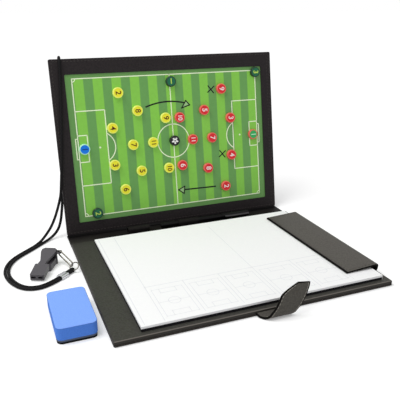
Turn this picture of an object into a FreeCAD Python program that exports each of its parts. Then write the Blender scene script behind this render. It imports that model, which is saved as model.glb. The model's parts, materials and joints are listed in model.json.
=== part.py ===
"""Folding tactics board with its set of counters, pad, marker, wiping block and whistle.

A leatherette folder stands open: the base lies flat with a writing pad on it, and the lid leans back
behind it with a steel-backed pitch on which magnetic counters hold.

Millimetres. +X is to the right, +Y to the back and +Z up. The origin is the middle of the base's underside.
The lid is drawn lying flat behind the spine, then turned up about its crease.
"""
import FreeCAD, Part
import math
import os

os.makedirs("parts", exist_ok=True)
Vec = FreeCAD.Vector
AXIS_X = Vec(1, 0, 0)
AXIS_Y = Vec(0, 1, 0)
AXIS_Z = Vec(0, 0, 1)

# Folder: two padded panels and a spine, each skinned in leatherette
cover_width = 318.0
base_depth = 237.0           # front edge to the base crease
spine_width = 34.0           # between the two creases
lid_height = 233.0           # lid crease to the lid's top edge
lid_lean = 9.5               # degrees back from upright
panel_thickness = 6.1
skin = 0.9
panel_corner = 2.0           # corners in plan
panel_edge = 1.2             # rounding of the outer edges
seam_groove = 0.35           # where the two skins of a panel meet
spine_thickness = 2.4
running_gap = 0.3            # between pieces that move past each other
overrun = 1.0                # how far a cutting tool passes the face it cuts

# Pitch in the lid, from the board outwards
window_left = 18.0           # frame borders round the pitch
window_right = 16.8
window_top = 20.0
window_bottom = 17.7         # from the lid crease
window_corner = 2.0
steel_thickness = 0.5
print_thickness = 0.3
film_thickness = 0.2
margin_left = 9.0            # printed margins between the window and the pitch's lines
margin_right = 9.4
margin_bottom = 7.1
margin_top = 5.5

# Magnetic counters
counter_diameter = 14.4
counter_height = 4.2
counter_edge = 0.9
counter_rim = 1.3            # raised rim round the number
counter_recess = 0.3
magnet_diameter = 10.0
magnet_height = 2.0
magnet_play = 0.1

# Writing pad
pad_left = 28.4              # bare lining round the pad, from the base's left edge
pad_right = 9.6
pad_front = 7.0
pad_back = 13.0              # from the base crease
backing_thickness = 3.0
sheets_thickness = 2.2
top_sheet_thickness = 0.2
binding_thickness = 0.4
binding_lap = 9.0            # how far the binding strip laps over the top sheet

# Flap over the bound end of the pad
flap_width = 46.2
flap_length = 180.0
flap_forward = 4.5           # how far its middle lies in front of the base's
flap_thickness = 2.4
flap_lift = 2.4              # how much higher the fold stands than the free edge
flap_skin = 0.7
flap_inset = 1.5             # from the base's right edge to the gusset
gusset_thickness = 2.2
flap_corner = 3.0

# Closing strap at the front edge
strap_thickness = 2.2
strap_width = 33.0
strap_right = 20.0           # its right edge where it leaves the base, from the middle of the folder
strap_sweep = 20.4           # how far its right edge drifts to the right on the way up
strap_reach = 13.2           # out from the front edge
strap_rise = 34.9            # from its lowest line to its tip
strap_anchor_length = 16.0   # sewn in between the base's two skins
knuckle_step = 0.1           # the knuckle is this much thinner than the strap
strap_magnet_diameter = 9.0
strap_magnet_height = 0.9

# Marker in the gutter and the loops that hold it
marker_right = 103.0         # right end of the cap, from the middle of the folder
barrel_diameter = 6.6
barrel_length = 106.0
barrel_nose = 6.0            # tapered shoulder towards the nib
nib_holder_diameter = 4.6
nib_holder_length = 9.0
nib_diameter = 2.6
nib_length = 5.0
cap_diameter = 7.8
cap_length = 42.0
cap_wall = 0.45
cap_end = 1.2
cap_overlap = 12.0           # how much of the barrel the cap covers
clip_length = 37.0
clip_width = 3.2
clip_thickness = 1.0
clip_stand = 0.9             # gap between the clip and the cap
clip_ball = 3.0
clip_turn = 68.0             # degrees from straight up, towards the front
loop_width = 30.0
loop_thickness = 0.6
loop_wing = 2.6              # flat sewn strip each side of a loop
left_loop_middle = -65.0
right_loop_middle = 8.0
loop_from_crease = 12.2      # middle of the loops, from the base crease

# Wiping block
block_length = 74.0
block_width = 39.2
block_height = 13.2
block_corner = 6.0
block_edge = 1.2
felt_height = 4.4
felt_inset = 0.5
block_gap = 8.4              # from the folder's left edge
block_from_front = 23.4      # from the folder's front edge

# Lanyard and whistle
cord_diameter = 3.6
cord_pair_spacing = 3.9      # middle to middle where the two strands lie side by side
cord_floor_gap = 0.1
cord_over_top = 3.6          # the middle of the cord above the lid's top edge
cord_top_slack = 0.6         # how far it stands off the lid's face and back at the top
cord_run_in = 12.0           # straight run on each side of where two stretches meet
arc_reach_share = 0.45       # of the shorter run, taken up by a bend
ferrule_length = 11.4
ferrule_height = 5.4
ferrule_flat = 0.3           # half the flat left between its round sides
sleeve_length = 12.4
sleeve_diameter = 5.8
sleeve_edge = 0.8
ring_radius = 5.5
ring_wire = 1.4
ring_hole = 3.0
ring_rise = 35.0             # degrees that the ring leans up from the table
hook_length = 30.1
hook_width = 8.4
hook_wire = 1.7
link_slack = 0.4             # play of the hook on the ring and in the lug
hook_on_ring = 72.5          # degrees round the ring, from its highest point to where the hook hangs
hook_turn = 116.4            # degrees from +X to the way the hook lies
hook_rise = 18.6             # degrees up from the ring to the whistle
whistle_turn = 64.2          # degrees from +X to the way the whistle's back points
whistle_length = 50.3        # mouth to the back of the body
whistle_mouth_top = 8.0      # the flat top climbs from here
whistle_height = 18.9        # to here
whistle_mouth_length = 20.3
whistle_mouth_width = 16.4
whistle_mouth_height = 6.4
whistle_window = 3.2         # gap between the mouthpiece and the chambers, on each side of the neck
whistle_neck = 7.0
whistle_widest = 18.0
whistle_widest_at = 42.5     # from the mouth
whistle_back_width = 12.2
whistle_plate = 2.6          # thickness of the flat top over the chambers
whistle_wall = 5.0           # solid back of the body
whistle_belly_width = 16.8
whistle_belly_height = 8.6
whistle_belly_corner = 4.0
whistle_belly_edge = 1.8
whistle_edge = 1.4
whistle_duct_width = 5.4
whistle_duct_height = 2.4
whistle_duct_depth = 14.0
lug_from_mouth = 47.0        # middle of the lug's hole
lug_aside = 11.5             # and how far it stands to the right of the whistle's middle
lug_width = 7.4
lug_thickness = 1.8
lug_hole = 4.0

# Heights and places that follow from the sizes above
half_width = cover_width / 2
front = -base_depth / 2
base_crease = base_depth / 2
lid_crease = base_crease + spine_width
crease_height = spine_thickness / 2
crease_clear = spine_thickness / 2 + running_gap
base_top = panel_thickness
pad_width = cover_width - pad_left - pad_right
pad_depth = base_depth - pad_front - pad_back
pitch_left = window_left + margin_left
pitch_bottom = window_bottom + margin_bottom
pitch_length = cover_width - window_left - window_right - margin_left - margin_right
pitch_width = lid_height - window_bottom - window_top - margin_bottom - margin_top
pad_top = base_top + backing_thickness + sheets_thickness + top_sheet_thickness
film_face = panel_thickness - skin
turn_up = 90 - lid_lean


def save(name, *solids):
    """Write one node, which may hold several separate solids."""
    shape = solids[0] if len(solids) == 1 else Part.makeCompound(list(solids))
    shape.exportStep(f"parts/{name}.step")
    print(name, len(shape.Solids), "valid" if shape.isValid() else "NOT VALID", round(shape.Volume, 1))


def stand(shape):
    """Turn a lid piece up from lying flat behind the spine."""
    shape.rotate(Vec(0, lid_crease, crease_height), AXIS_X, turn_up)
    return shape


def on_lid(x, up, out):
    """A point of the standing lid: across from its left edge, up from its crease, out from its back skin."""
    lean = math.radians(lid_lean)
    off = out - crease_height
    return Vec(x - half_width,
               lid_crease + up * math.sin(lean) - off * math.cos(lean),
               crease_height + up * math.cos(lean) + off * math.sin(lean))


def edges_at(shape, level):
    """Edges that lie whole at one height."""
    return [e for e in shape.Edges if all(abs(v.Z - level) < Part.Precision.confusion() for v in e.Vertexes)]


def slab(width, depth, height, corner, at=Vec(0, 0, 0)):
    """A flat plate with rounded corners, standing on its lower left front corner."""
    plate = Part.makeBox(width, depth, height)
    upright = [e for e in plate.Edges
               if abs(e.tangentAt(e.FirstParameter).z) > 1 - Part.Precision.confusion()]
    plate = plate.makeFillet(corner, upright)
    plate.translate(at)
    return plate


def skin_tray(width, depth):
    """One of the two skins of a padded panel: a tray with rounded edges and a grooved rim."""
    height = panel_thickness / 2
    outer = slab(width, depth, height, panel_corner)
    outer = outer.makeFillet(panel_edge, edges_at(outer, 0))
    outer = outer.makeChamfer(seam_groove, edges_at(outer, height))
    hollow = slab(width - 2 * skin, depth - 2 * skin, height, panel_corner - skin, Vec(skin, skin, skin))
    return outer.cut(hollow)


def turned(points, at, along):
    """A solid of revolution about a level line, from a profile of (along, out) pairs."""
    knots = [at + along * a + AXIS_Z * r for a, r in points]
    wire = Part.makePolygon(knots + [knots[0]])
    return Part.Face(wire).revolve(at, along, 360)


def round_bar(diameter, length, at, along):
    return Part.makeCylinder(diameter / 2, length, at, along)


def route(points, radius_floor):
    """Straight runs joined by tangent arcs, as large as the runs allow; says its tightest radius."""
    edges = []
    last = points[0]
    tightest = None
    for before, corner, after in zip(points, points[1:], points[2:]):
        came = corner - before
        goes = after - corner
        reach = arc_reach_share * min(came.Length, goes.Length)
        turn = came.getAngle(goes)
        radius = reach / math.tan(turn / 2)
        tightest = radius if tightest is None else min(tightest, radius)
        came.normalize()
        goes.normalize()
        start = corner - came * reach
        end = corner + goes * reach
        inward = goes - came
        inward.normalize()
        middle = corner + inward * (radius / math.cos(turn / 2) - radius)
        edges.append(Part.LineSegment(last, start).toShape())
        edges.append(Part.Arc(start, middle, end).toShape())
        last = end
    edges.append(Part.LineSegment(last, points[-1]).toShape())
    wire = Part.Wire(edges)
    print("route length", round(wire.Length, 1), "tightest radius", round(tightest, 1),
          "wanted", radius_floor)
    return wire


def tube(path, diameter):
    """A round cord along a path, checked against its section times its length."""
    start = path.Edges[0]
    along = start.tangentAt(start.FirstParameter)
    section = Part.Wire(Part.makeCircle(diameter / 2, start.valueAt(start.FirstParameter), along))
    solid = path.makePipeShell([section], True, True)
    share = solid.Volume / (math.pi * diameter ** 2 / 4 * path.Length)
    print("tube volume over section times length", round(share, 4))
    return solid


def base_panel():
    depth = base_depth - crease_clear
    corner = Vec(-half_width, front, 0)
    cover = skin_tray(cover_width, depth)
    cover.translate(corner)
    lining = cover.mirror(Vec(0, 0, panel_thickness / 2), AXIS_Z)
    board = slab(cover_width - 2 * skin, depth - 2 * skin, panel_thickness - 2 * skin, panel_corner - skin,
                 corner + Vec(skin, skin, skin))
    return cover, lining, board


def spine():
    """A thin panel whose long edges are round about the two creases, with a stiffener inside."""
    radius = spine_thickness / 2
    flat = Part.makeBox(cover_width, spine_width, spine_thickness, Vec(-half_width, base_crease, 0))
    for crease in (base_crease, lid_crease):
        flat = flat.fuse(round_bar(spine_thickness, cover_width, Vec(-half_width, crease, radius), AXIS_X))
    flat = flat.removeSplitter()
    board = Part.makeBox(cover_width - 2 * skin, spine_width, spine_thickness - 2 * skin,
                         Vec(-half_width + skin, base_crease, skin))
    return flat.cut(board), board


def lid_panel():
    depth = lid_height - crease_clear
    corner = Vec(-half_width, lid_crease + crease_clear, 0)
    cover = skin_tray(cover_width, depth)
    cover.translate(corner)
    frame = cover.mirror(Vec(0, 0, panel_thickness / 2), AXIS_Z)
    window = slab(cover_width - window_left - window_right, lid_height - window_top - window_bottom,
                  panel_thickness, window_corner,
                  Vec(-half_width + window_left, lid_crease + window_bottom, panel_thickness / 2))
    frame = frame.cut(window)
    layers = [("lid_board", panel_thickness - 2 * skin - steel_thickness - print_thickness - film_thickness),
              ("steel_sheet", steel_thickness), ("pitch_print", print_thickness),
              ("wipe_film", film_thickness)]
    pieces = [("lid_cover", cover), ("lid_frame", frame)]
    level = skin
    for name, thickness in layers:
        pieces.append((name, slab(cover_width - 2 * skin, depth - 2 * skin, thickness, panel_corner - skin,
                                  corner + Vec(skin, skin, level))))
        level += thickness
    return [(name, stand(piece)) for name, piece in pieces]


# Where each counter lies, as shares of the pitch's length and width from its lower left corner
COUNTER_PLACE_SHARES = {
    "yellow_2": (0.2216, 0.8857), "yellow_3": (0.1736, 0.3602), "yellow_4": (0.1786, 0.6333),
    "yellow_5": (0.3126, 0.2959), "yellow_6": (0.2186, 0.1692), "yellow_7": (0.2786, 0.4978),
    "yellow_8": (0.3156, 0.7462), "yellow_9": (0.4636, 0.6789), "yellow_10": (0.4636, 0.2959),
    "yellow_11": (0.3866, 0.5017), "blue_1": (0.0276, 0.4978),
    "red_2": (0.7876, 0.0990), "red_3": (0.8356, 0.6413), "red_4": (0.8316, 0.3464),
    "red_5": (0.6836, 0.7165), "red_6": (0.5396, 0.3048), "red_7": (0.7206, 0.4978),
    "red_8": (0.6876, 0.2603), "red_9": (0.7896, 0.8708), "red_10": (0.5416, 0.6739),
    "red_11": (0.6086, 0.4978), "red_1": (0.9690, 0.4938),
    "green_1": (0.5066, 0.9470), "green_2": (0.0616, 0.0158), "green_3": (0.9986, 0.9858),
    "ball": (0.5051, 0.5007)}


def counter(along_share, up_share):
    """A plastic cap with a raised rim, and the ferrite disc in the pocket under it."""
    radius = counter_diameter / 2
    cap = Part.makeCylinder(radius, counter_height)
    cap = cap.makeFillet(counter_edge, edges_at(cap, counter_height))
    number_face = Part.makeCylinder(radius - counter_rim, counter_recess,
                                    Vec(0, 0, counter_height - counter_recess))
    pocket = Part.makeCylinder(magnet_diameter / 2 + magnet_play, magnet_height)
    cap = cap.cut(number_face).cut(pocket)
    magnet = Part.makeCylinder(magnet_diameter / 2, magnet_height)
    place = Vec(-half_width + pitch_left + along_share * pitch_length,
                lid_crease + pitch_bottom + up_share * pitch_width, film_face)
    for solid in (cap, magnet):
        solid.translate(place)
        stand(solid)
    return cap, magnet


def pad():
    """Backing card, the block of sheets, the printed top sheet and the binding strip on the right end."""
    left = -half_width + pad_left
    near = front + pad_front
    level = base_top
    card = Part.makeBox(pad_width, pad_depth, backing_thickness, Vec(left, near, level))
    level += backing_thickness
    sheets = Part.makeBox(pad_width, pad_depth, sheets_thickness, Vec(left, near, level))
    level += sheets_thickness
    top_width = pad_width - binding_lap
    top = Part.makeBox(top_width, pad_depth, top_sheet_thickness, Vec(left, near, level))
    lap = Part.makeBox(binding_lap + binding_thickness, pad_depth, top_sheet_thickness,
                       Vec(left + top_width, near, level))
    drop = Part.makeBox(binding_thickness, pad_depth, level - base_top, Vec(left + pad_width, near, base_top))
    return card, sheets, top, lap.fuse(drop).removeSplitter()


def flap():
    """The folded-over flap: a gusset wall on the base, and a stiffened panel that turns about its top."""
    radius = flap_thickness / 2
    axis_height = pad_top + running_gap + radius + flap_lift
    axis_x = half_width - flap_inset - radius
    near = -flap_length / 2 - flap_forward
    gusset_x = axis_x - gusset_thickness / 2
    gusset = Part.makeBox(gusset_thickness, flap_length, axis_height - radius - running_gap - base_top,
                          Vec(gusset_x, near, base_top))
    free_x = half_width - flap_inset - flap_width
    panel = slab(axis_x - free_x + flap_corner, flap_length, flap_thickness, flap_corner,
                 Vec(free_x, near, axis_height - radius))
    beyond = Part.makeBox(2 * flap_corner, flap_length, flap_thickness,
                          Vec(axis_x, near, axis_height - radius))
    roll = round_bar(flap_thickness, flap_length, Vec(axis_x, near, axis_height), AXIS_Y)
    panel = panel.cut(beyond).fuse(roll).removeSplitter()
    board = Part.makeBox(axis_x - free_x - flap_corner, flap_length - 2 * flap_corner,
                         flap_thickness - 2 * flap_skin,
                         Vec(free_x + flap_corner, near + flap_corner, axis_height - radius + flap_skin))
    lean = math.degrees(math.asin(flap_lift / (axis_x - free_x)))
    for piece in (panel, board):
        piece.rotate(Vec(axis_x, near, axis_height), AXIS_Y, -lean)
    print("flap axis", round(axis_x, 3), round(axis_height, 3))
    return gusset, panel.cut(board), board


# The strap's line: shares of its sweep, its width, its reach and its rise
STRAP_STATION_SHARES = {
    "edge": (0.00, 1.00, 0.00, 0.052), "dip": (0.10, 1.00, 0.38, 0.012),
    "floor": (0.27, 1.00, 0.73, 0.026), "bend": (0.44, 1.00, 0.925, 0.095),
    "knuckle": (0.54, 1.00, 0.985, 0.175), "rise": (0.735, 0.985, 1.00, 0.312),
    "middle": (0.86, 0.927, 0.97, 0.513), "shoulder": (0.94, 0.87, 0.91, 0.713),
    "taper": (0.99, 0.70, 0.856, 0.857), "tip": (1.00, 0.436, 0.788, 1.00)}


def strap_station(name):
    """Left edge, right edge, distance out from the front edge and height of the strap's middle."""
    sweep_share, width_share, reach_share, rise_share = STRAP_STATION_SHARES[name]
    right = strap_right + sweep_share * strap_sweep
    return (right - width_share * strap_width, right, reach_share * strap_reach,
            strap_thickness / 2 + rise_share * strap_rise)


def strap_sections():
    """Upright cross sections of the strap, square to its line as seen from the side."""
    places = [strap_station(name) for name in STRAP_STATION_SHARES]
    sections = {}
    for index, (name, (left, right, out, height)) in enumerate(zip(STRAP_STATION_SHARES, places)):
        before = places[max(index - 1, 0)]
        after = places[min(index + 1, len(places) - 1)]
        across = Vec(0, -(after[3] - before[3]), -(after[2] - before[2]))
        across.normalize()
        across = across * (strap_thickness / 2)
        left_end = Vec(left, front - out, height)
        right_end = Vec(right, front - out, height)
        sections[name] = Part.makePolygon([left_end - across, right_end - across, right_end + across,
                                           left_end + across, left_end - across])
    return sections


def strap_anchor():
    """The end of the strap that is sewn in at the front edge."""
    left, right, out, height = strap_station("edge")
    return Part.makeBox(right - left, strap_anchor_length, strap_thickness,
                        Vec(left, front, height - strap_thickness / 2))


def strap_magnet():
    """A thin disc sealed in the tongue, between its shoulder and its taper."""
    low = strap_station("middle")
    high = strap_station("shoulder")
    left, right, out, height = [(a + b) / 2 for a, b in zip(low, high)]
    across = Vec(0, -(high[3] - low[3]), -(high[2] - low[2]))
    across.normalize()
    at = Vec((left + right) / 2, front - out, height) - across * (strap_magnet_height / 2)
    disc = Part.makeCylinder(strap_magnet_diameter / 2, strap_magnet_height, at, across)
    return disc, disc.copy()


def strap():
    """The sewn-in anchor, the curled root, and the tongue that swings about the knuckle of the curl."""
    sections = strap_sections()
    left, right, out, height = strap_station("knuckle")
    axis = Vec(left, front - out, height)
    names = list(sections)
    turn = names.index("knuckle")
    root = Part.makeLoft([sections[name] for name in names[:turn + 1]], True, False)
    tongue = Part.makeLoft([sections[name] for name in names[turn:]], True, False)
    clear = round_bar(strap_thickness + 2 * running_gap, right - left + 2 * overrun,
                      axis - Vec(overrun, 0, 0), AXIS_X)
    root = root.cut(clear).fuse(strap_anchor()).removeSplitter()
    tongue = tongue.fuse(round_bar(strap_thickness - knuckle_step, right - left, axis, AXIS_X))
    magnet, hollow = strap_magnet()
    print("strap axis", [round(c, 3) for c in axis])
    return root, tongue.cut(hollow), magnet


def marker_middle():
    """The marker's line: just clear of the floor strip of its loop."""
    height = spine_thickness + loop_thickness + running_gap + barrel_diameter / 2
    return Vec(0, base_crease + loop_from_crease, height)


def arch(radius, bottom, left, length):
    """A tunnel form along X: half round above the marker's line, with straight sides down to a level."""
    middle = marker_middle() + Vec(left, 0, 0)
    sides = Part.makeBox(length, 2 * radius, middle.z - bottom, Vec(left, middle.y - radius, bottom))
    return round_bar(2 * radius, length, middle, AXIS_X).fuse(sides).removeSplitter()


def pen_loop(middle):
    """A leatherette strip sewn down as a loop: a floor strip, an arch over the pen and a wing each side."""
    bore = barrel_diameter / 2 + running_gap
    outer = bore + loop_thickness
    left = middle - loop_width / 2
    wings = Part.makeBox(loop_width, 2 * (outer + loop_wing), loop_thickness,
                         Vec(left, marker_middle().y - outer - loop_wing, spine_thickness))
    inside = arch(bore, spine_thickness + loop_thickness, left - overrun, loop_width + 2 * overrun)
    return arch(outer, spine_thickness, left, loop_width).fuse(wings).cut(inside).removeSplitter()


def marker():
    """Barrel with its nib, and the cap with its clip, lying along X in the right loop."""
    middle = marker_middle()
    radius = barrel_diameter / 2
    shoulder_x = marker_right - cap_length + cap_overlap
    tail = middle + Vec(shoulder_x - barrel_length, 0, 0)
    tail_round = radius / 2
    body = turned([(0, 0), (0, radius - tail_round / 2), (tail_round / 2, radius),
                   (barrel_length - barrel_nose, radius),
                   (barrel_length, nib_holder_diameter / 2), (barrel_length, 0)], tail, AXIS_X)
    holder = round_bar(nib_holder_diameter, nib_holder_length, tail + AXIS_X * barrel_length, AXIS_X)
    barrel = body.fuse(holder).removeSplitter()
    nib_start = tail + AXIS_X * (barrel_length + nib_holder_length)
    nib = turned([(0, 0), (0, nib_diameter / 2), (nib_length - nib_diameter / 2, nib_diameter / 2),
                  (nib_length, 0)], nib_start, AXIS_X)
    mouth = middle + Vec(marker_right - cap_length, 0, 0)
    cap_radius = cap_diameter / 2
    shell = turned([(0, 0), (0, cap_radius), (cap_length - cap_end, cap_radius),
                    (cap_length, cap_radius - cap_end), (cap_length, 0)], mouth, AXIS_X)
    hollow = round_bar(cap_diameter - 2 * cap_wall, cap_length - 2 * cap_end, mouth, AXIS_X)
    shell = shell.cut(hollow)
    clip_level = middle.z + cap_radius + clip_stand
    clip_right = marker_right - cap_end
    blade = Part.makeBox(clip_length, clip_width, clip_thickness,
                         Vec(clip_right - clip_length, middle.y - clip_width / 2, clip_level))
    heel = Part.makeBox(clip_width, clip_width, clip_level - middle.z,
                        Vec(clip_right - clip_width, middle.y - clip_width / 2, middle.z))
    heel = heel.cut(round_bar(cap_diameter - cap_wall, cap_length, mouth, AXIS_X))
    ball = Part.makeSphere(clip_ball / 2, Vec(clip_right - clip_length, middle.y, clip_level))
    cap = shell.fuse(heel).fuse(blade).fuse(ball).removeSplitter()
    cap.rotate(middle, AXIS_X, clip_turn)
    return barrel, nib, cap


def wiping_block():
    """Foam grip on a felt pad."""
    corner = Vec(-half_width - block_gap - block_width, front + block_from_front, felt_height)
    foam = slab(block_width, block_length, block_height, block_corner, corner)
    foam = foam.makeFillet(block_edge, edges_at(foam, felt_height + block_height))
    felt = slab(block_width - 2 * felt_inset, block_length - 2 * felt_inset, felt_height,
                block_corner - felt_inset, Vec(corner.x + felt_inset, corner.y + felt_inset, 0))
    return foam, felt


def by_folder(out, back, level):
    """A point beside the folder: out from its left edge, back from the base crease."""
    return Vec(-half_width - out, base_crease + back, level)


# Lanyard route, in the order that a strand runs: the pair lies on the floor as far as the crease line
cord_level = cord_diameter / 2 + cord_floor_gap
FERRULE_MOUTH = by_folder(27.2, -84.7, cord_level)
FLOOR_PAIR = [FERRULE_MOUTH, by_folder(37.8, -93.3, cord_level),
              by_folder(52.5, -98.8, cord_level), by_folder(67.0, -93.5, cord_level),
              by_folder(77.8, -75.5, cord_level), by_folder(83.3, -52.0, cord_level),
              by_folder(80.0, -29.0, cord_level), by_folder(70.0, -10.5, cord_level),
              by_folder(58.8, 0.0, cord_level)]
FRONT_HANG = [by_folder(42.6, 18.6, cord_level), by_folder(34.6, 28.6, 2.6), by_folder(26.7, 34.4, 8.6),
              by_folder(19.4, 36.8, 17.2), by_folder(13.3, 37.1, 29.4), by_folder(8.7, 37.0, 41.8),
              by_folder(5.0, 36.8, 53.6)]
BACK_HANG = [by_folder(40.2, 15.4, cord_level), by_folder(32.6, 23.6, cord_level),
             by_folder(23.9, 31.4, 2.6), by_folder(15.2, 38.2, 5.8), by_folder(9.3, 41.6, 11.8),
             by_folder(5.4, 43.9, 21.2), by_folder(3.0, 45.4, 32.6), by_folder(1.0, 46.4, 45.4)]


def lid_route():
    """Over the lid near its left edge: up its face, round the top edge and down its back."""
    face = panel_thickness + running_gap + cord_diameter / 2
    behind = -running_gap - cord_diameter / 2
    over = lid_height + cord_over_top
    return [on_lid(-1.2, 72.0, face), on_lid(3.4, 106.0, face), on_lid(7.2, 144.0, face),
            on_lid(10.6, 183.0, face), on_lid(13.1, 216.0, face), on_lid(13.8, over, face + cord_top_slack),
            on_lid(14.4, over, behind - cord_top_slack),
            on_lid(14.3, 216.0, behind), on_lid(11.4, 183.0, behind), on_lid(8.2, 144.0, behind),
            on_lid(4.2, 106.0, behind), on_lid(1.4, 72.0, behind)]


def beside(points, offset):
    """The same floor route shifted sideways, for one strand of the pair."""
    shifted = []
    last = len(points) - 1
    for index, point in enumerate(points):
        came = points[max(index, 1)] - points[max(index, 1) - 1]
        goes = points[min(index + 1, last)] - points[min(index, last - 1)]
        came.normalize()
        goes.normalize()
        along = came + goes
        along.normalize()
        shifted.append(point + Vec(-along.y, along.x, 0) * (offset / math.cos(came.getAngle(goes) / 2)))
    return shifted


def joined(before, points, after):
    """A stretch that starts straight on from one stretch and ends straight into the next."""
    leaving = before[-1] - before[-2]
    leaving.normalize()
    arriving = after[1] - after[0]
    arriving.normalize()
    return ([before[-1], before[-1] + leaving * cord_run_in] + points
            + [after[0] - arriving * cord_run_in, after[0]])


def lanyard_cords():
    """Two strands along the floor, the two that hang from the lid, and the stretch over the lid."""
    wanted = 3 * cord_diameter
    front_floor = beside(FLOOR_PAIR, cord_pair_spacing / 2)
    back_floor = beside(FLOOR_PAIR, -cord_pair_spacing / 2)
    over = lid_route()
    floor_tubes = [tube(route(points, wanted), cord_diameter) for points in (front_floor, back_floor)]
    front_hang = joined(front_floor, FRONT_HANG, over)
    back_hang = joined(back_floor, BACK_HANG, over[::-1])
    hang_tubes = [tube(route(points, wanted), cord_diameter) for points in (front_hang, back_hang)]
    return floor_tubes, hang_tubes, tube(route(over, cord_diameter), cord_diameter)


def lanyard_fittings():
    """Ferrule, sleeve, split ring and wire hook, linked through each other."""
    along = FERRULE_MOUTH - FLOOR_PAIR[1]
    along.normalize()
    turn = math.degrees(math.atan2(along.y, along.x))
    wide = cord_pair_spacing + ferrule_height
    ferrule = slab(ferrule_height, wide, ferrule_length, ferrule_height / 2 - ferrule_flat,
                   Vec(0, -wide / 2, 0))
    ferrule.rotate(Vec(0, 0, 0), AXIS_Y, 90)
    ferrule.translate(Vec(0, 0, ferrule_height))
    ferrule.rotate(Vec(0, 0, 0), AXIS_Z, turn)
    ferrule.translate(Vec(FERRULE_MOUTH.x, FERRULE_MOUTH.y, 0))
    joint = Vec(FERRULE_MOUTH.x, FERRULE_MOUTH.y, sleeve_diameter / 2) + along * ferrule_length
    sleeve = round_bar(sleeve_diameter, sleeve_length, joint, along)
    sleeve_tip = joint + along * sleeve_length
    tip_edges = [e for e in sleeve.Edges if (e.CenterOfMass - sleeve_tip).Length < sleeve_edge]
    sleeve = sleeve.makeFillet(sleeve_edge, tip_edges)
    across = Vec(-along.y, along.x, 0)
    eye = sleeve_tip - along * (ring_hole / 2 + sleeve_edge)
    sleeve = sleeve.cut(round_bar(ring_hole, 2 * sleeve_diameter, eye - across * sleeve_diameter, across))
    lean = math.radians(ring_rise)
    outward = along * math.cos(lean) + AXIS_Z * math.sin(lean)
    ring_middle = eye + outward * ring_radius - along * ((ring_hole - ring_wire) / 4)
    ring = Part.makeTorus(ring_radius, ring_wire / 2, ring_middle, outward.cross(across))
    hang = math.radians(hook_on_ring)
    hook_place = ring_middle + (outward * math.cos(hang) + across * math.sin(hang)) * ring_radius
    return ferrule, sleeve, ring, hook_place


def wire_loop(length, width, wire, near, along):
    """A long closed wire loop standing on edge, from the middle of its first round end along a line."""
    radius = (width - wire) / 2
    far = near + along * (length - wire - 2 * radius)
    up = AXIS_Z - along * along.z
    up.normalize()
    up = up * radius
    edges = [Part.LineSegment(near + up, far + up).toShape(),
             Part.Arc(far + up, far + along * radius, far - up).toShape(),
             Part.LineSegment(far - up, near - up).toShape(),
             Part.Arc(near - up, near - along * radius, near + up).toShape()]
    section = Part.Wire(Part.makeCircle(wire / 2, near + up, along))
    return Part.Wire(edges).makePipeShell([section], True, True)


def prism(points, direction):
    """A flat outline drawn out to a solid."""
    return Part.Face(Part.makePolygon(points + [points[0]])).extrude(direction)


def whistle_top(x):
    """Height of the whistle's flat top, which climbs from the mouth to the back."""
    return whistle_mouth_top + (whistle_height - whistle_mouth_top) * x / whistle_length


def under_top(start, end, depth):
    """The space under the whistle's top between two places along it, down to a depth or to the table."""
    low = [max(whistle_top(x) - depth, 0) for x in (start, end)]
    outline = [Vec(start, -whistle_widest, low[0]), Vec(end, -whistle_widest, low[1]),
               Vec(end, -whistle_widest, whistle_top(end)), Vec(start, -whistle_widest, whistle_top(start))]
    return prism(outline, Vec(0, 2 * whistle_widest, 0))


def whistle(lug_level):
    """A pealess whistle on its belly, mouth towards -X, with its lug hole at the origin of its own frame.

    Its flat top runs from the mouthpiece over a narrow neck to the chambers, which are open at the sides.
    """
    length = whistle_length
    neck_start = whistle_mouth_length
    neck_end = whistle_mouth_length + whistle_window
    half_widths = [(neck_end, whistle_neck / 2), (whistle_widest_at, whistle_widest / 2),
                   (length - whistle_wall / 2, whistle_widest / 2), (length, whistle_back_width / 2)]
    outline = [Vec(x, y, 0) for x, y in half_widths] + [Vec(x, -y, 0) for x, y in reversed(half_widths)]
    chambers = prism(outline, AXIS_Z * whistle_height)
    plate = chambers.common(under_top(neck_end, length, whistle_plate))
    back = chambers.common(under_top(length - whistle_wall, length, whistle_height))
    mouth = slab(whistle_mouth_length, whistle_mouth_width, whistle_height, whistle_edge,
                 Vec(0, -whistle_mouth_width / 2, 0))
    mouth = mouth.common(under_top(0, neck_start, whistle_mouth_height))
    core = Part.makeBox(length - whistle_wall, whistle_neck, whistle_height,
                        Vec(whistle_wall, -whistle_neck / 2, 0))
    core = core.common(under_top(0, length, whistle_height))
    belly = slab(length - neck_end, whistle_belly_width, whistle_belly_height, whistle_belly_corner,
                 Vec(neck_end, -whistle_belly_width / 2, 0))
    belly = belly.makeFillet(whistle_belly_edge, edges_at(belly, 0))
    body = mouth.fuse(core).fuse(belly).fuse(back).fuse(plate)
    for side in (-1, 1):
        duct = Part.makeBox(whistle_duct_depth + overrun, whistle_duct_width, whistle_duct_height,
                            Vec(-overrun, side * whistle_mouth_width / 4 - whistle_duct_width / 2,
                                whistle_mouth_top - (whistle_mouth_height + whistle_duct_height) / 2))
        body = body.cut(duct)
    tab = slab(lug_width, lug_aside + lug_width / 2 - whistle_neck / 2, lug_thickness,
               lug_width / 2 - overrun / 2,
               Vec(lug_from_mouth - lug_width / 2, -lug_aside - lug_width / 2, lug_level - lug_thickness / 2))
    hole = Part.makeCylinder(lug_hole / 2, lug_thickness + 2 * overrun,
                             Vec(lug_from_mouth, -lug_aside, lug_level - lug_thickness / 2 - overrun))
    body = body.fuse(tab).cut(hole).removeSplitter()
    body.translate(Vec(-lug_from_mouth, lug_aside, 0))
    return body


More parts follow.
